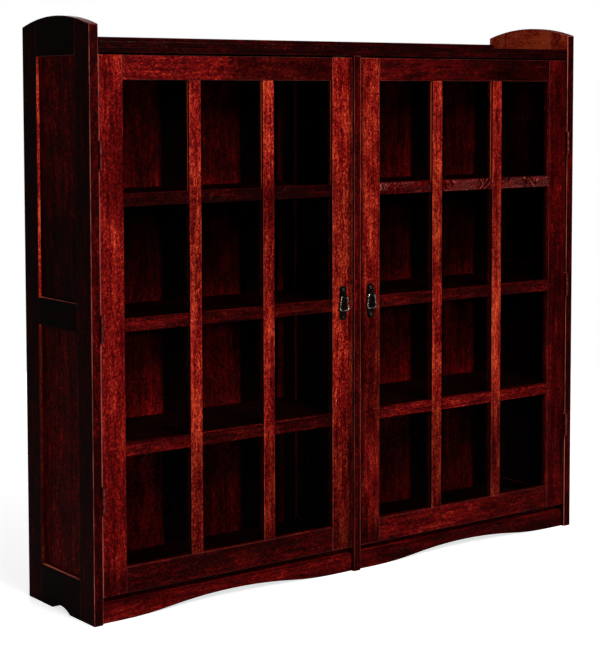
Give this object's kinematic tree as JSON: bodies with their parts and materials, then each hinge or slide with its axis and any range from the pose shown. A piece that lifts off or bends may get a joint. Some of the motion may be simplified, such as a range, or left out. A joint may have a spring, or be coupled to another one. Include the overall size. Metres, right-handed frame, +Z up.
{
  "type": "two-door glazed bookcase",
  "caption": "Low wide bookcase with framed arched sides, a centre partition, adjustable shelves behind glazed doors with small panes, hanging bail pulls and shaped aprons.",
  "frame": {"origin": "on the floor at the middle of the case, under the centre partition", "axes": "+X to the right seen from the front, +Y to the back, +Z up"},
  "size_m": [1.6, 0.3375, 1.455],
  "materials": {
    "stained_oak": "quarter-sawn oak in a dark red-brown stain, rubbed semi-gloss",
    "back_board": "upright-grained boards in the same stain, satin",
    "clear_glass": "clear flat glass",
    "dark_bronze": "dark patinated bronze",
    "pin_brass": "dull brass",
    "catch_brown": "brown moulded case"
  },
  "bodies": {
    "case": {"aprons": "stained_oak", "back_panels": "back_board", "bottom_boards": "stained_oak", "case_hinge_leaves": "dark_bronze", "case_hinge_screws": "dark_bronze", "door_catches": "catch_brown", "front_top_rail": "stained_oak", "gallery_rail": "stained_oak", "hinge_pins": "dark_bronze", "left_lower_shelf": "stained_oak", "left_middle_shelf": "stained_oak", "left_side_bottom_rail": "stained_oak", "left_side_front_stile": "stained_oak", "left_side_lower_panel": "stained_oak", "left_side_mid_rail": "stained_oak", "left_side_rear_stile": "stained_oak", "left_side_top_rail": "stained_oak", "left_side_upper_panel": "stained_oak", "left_upper_shelf": "stained_oak", "partition_bottom_rail": "stained_oak", "partition_front_stile": "stained_oak", "partition_lower_panel": "stained_oak", "partition_mid_rail": "stained_oak", "partition_rear_stile": "stained_oak", "partition_top_rail": "stained_oak", "partition_upper_panel": "stained_oak", "right_lower_shelf": "stained_oak", "right_middle_shelf": "stained_oak", "right_side_bottom_rail": "stained_oak", "right_side_front_stile": "stained_oak", "right_side_lower_panel": "stained_oak", "right_side_mid_rail": "stained_oak", "right_side_rear_stile": "stained_oak", "right_side_top_rail": "stained_oak", "right_side_upper_panel": "stained_oak", "right_upper_shelf": "stained_oak", "shelf_pins": "pin_brass", "top_board": "stained_oak"},
    "left_door": {"left_door_glass_panes": "clear_glass", "left_door_glazing_bars": "stained_oak", "left_door_glazing_beads": "stained_oak", "left_door_hinge_leaves": "dark_bronze", "left_door_hinge_stile": "stained_oak", "left_door_meeting_stile": "stained_oak", "left_door_muntins": "stained_oak", "left_door_rails": "stained_oak", "left_door_screws": "dark_bronze", "left_pull_plate": "dark_bronze"},
    "left_bail": {"left_pull_bail": "dark_bronze"},
    "right_door": {"right_door_glass_panes": "clear_glass", "right_door_glazing_bars": "stained_oak", "right_door_glazing_beads": "stained_oak", "right_door_hinge_leaves": "dark_bronze", "right_door_hinge_stile": "stained_oak", "right_door_meeting_stile": "stained_oak", "right_door_muntins": "stained_oak", "right_door_rails": "stained_oak", "right_door_screws": "dark_bronze", "right_pull_plate": "dark_bronze"},
    "right_bail": {"right_pull_bail": "dark_bronze"}
  },
  "joints": [
    {"name": "left_door_hinge", "type": "hinge", "parent": "case", "child": "left_door", "pos_m": [-0.774, -0.1688, 0.713], "axis": [0, 0, -1], "range_deg": [0, 180]},
    {"name": "left_bail_swing", "type": "hinge", "parent": "left_door", "child": "left_bail", "pos_m": [-0.046, -0.1685, 0.7375], "axis": [-1, 0, 0], "range_deg": [-5, 180]},
    {"name": "right_door_hinge", "type": "hinge", "parent": "case", "child": "right_door", "pos_m": [0.774, -0.1688, 0.713], "axis": [0, 0, 1], "range_deg": [0, 180]},
    {"name": "right_bail_swing", "type": "hinge", "parent": "right_door", "child": "right_bail", "pos_m": [0.046, -0.1685, 0.7375], "axis": [-1, 0, 0], "range_deg": [-5, 180]}
  ]
}
